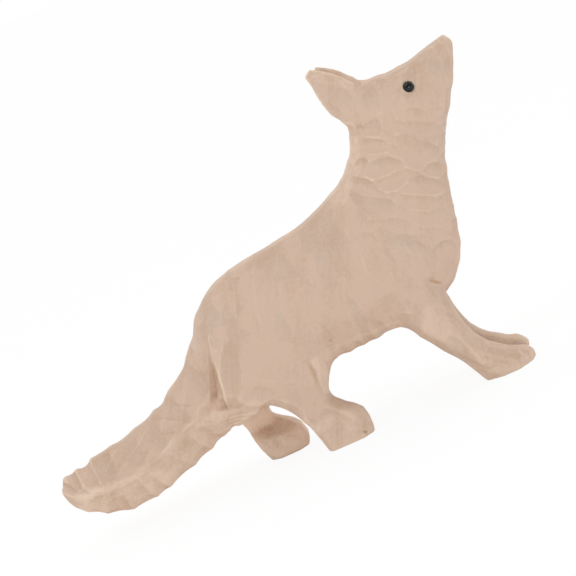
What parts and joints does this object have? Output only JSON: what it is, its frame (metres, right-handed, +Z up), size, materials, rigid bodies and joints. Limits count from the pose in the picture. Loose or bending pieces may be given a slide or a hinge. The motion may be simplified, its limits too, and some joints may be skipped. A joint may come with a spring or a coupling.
{
  "type": "carved wooden fox figurine",
  "caption": "Striding fox whittled from pale wood, head raised, ears laid back and thick tail low, with glossy black pin eyes; stands on flat soles as an ornament.",
  "frame": {"origin": "on the ground plane under the middle of the figure's length and width", "axes": "+X the way the fox faces, +Y its left, +Z up"},
  "size_m": [0.1358, 0.0252, 0.0876],
  "materials": {
    "wood": "bare carved linden-like wood, matte, with knife and gouge facets",
    "eye_glass": "opaque black glass, glossy",
    "stem_wire": "plain drawn wire, hidden in the wood"
  },
  "bodies": {
    "root": {"carved_fox": "wood", "right_eye_bead": "eye_glass", "left_eye_bead": "eye_glass", "right_eye_stem": "stem_wire", "left_eye_stem": "stem_wire"}
  },
  "joints": []
}
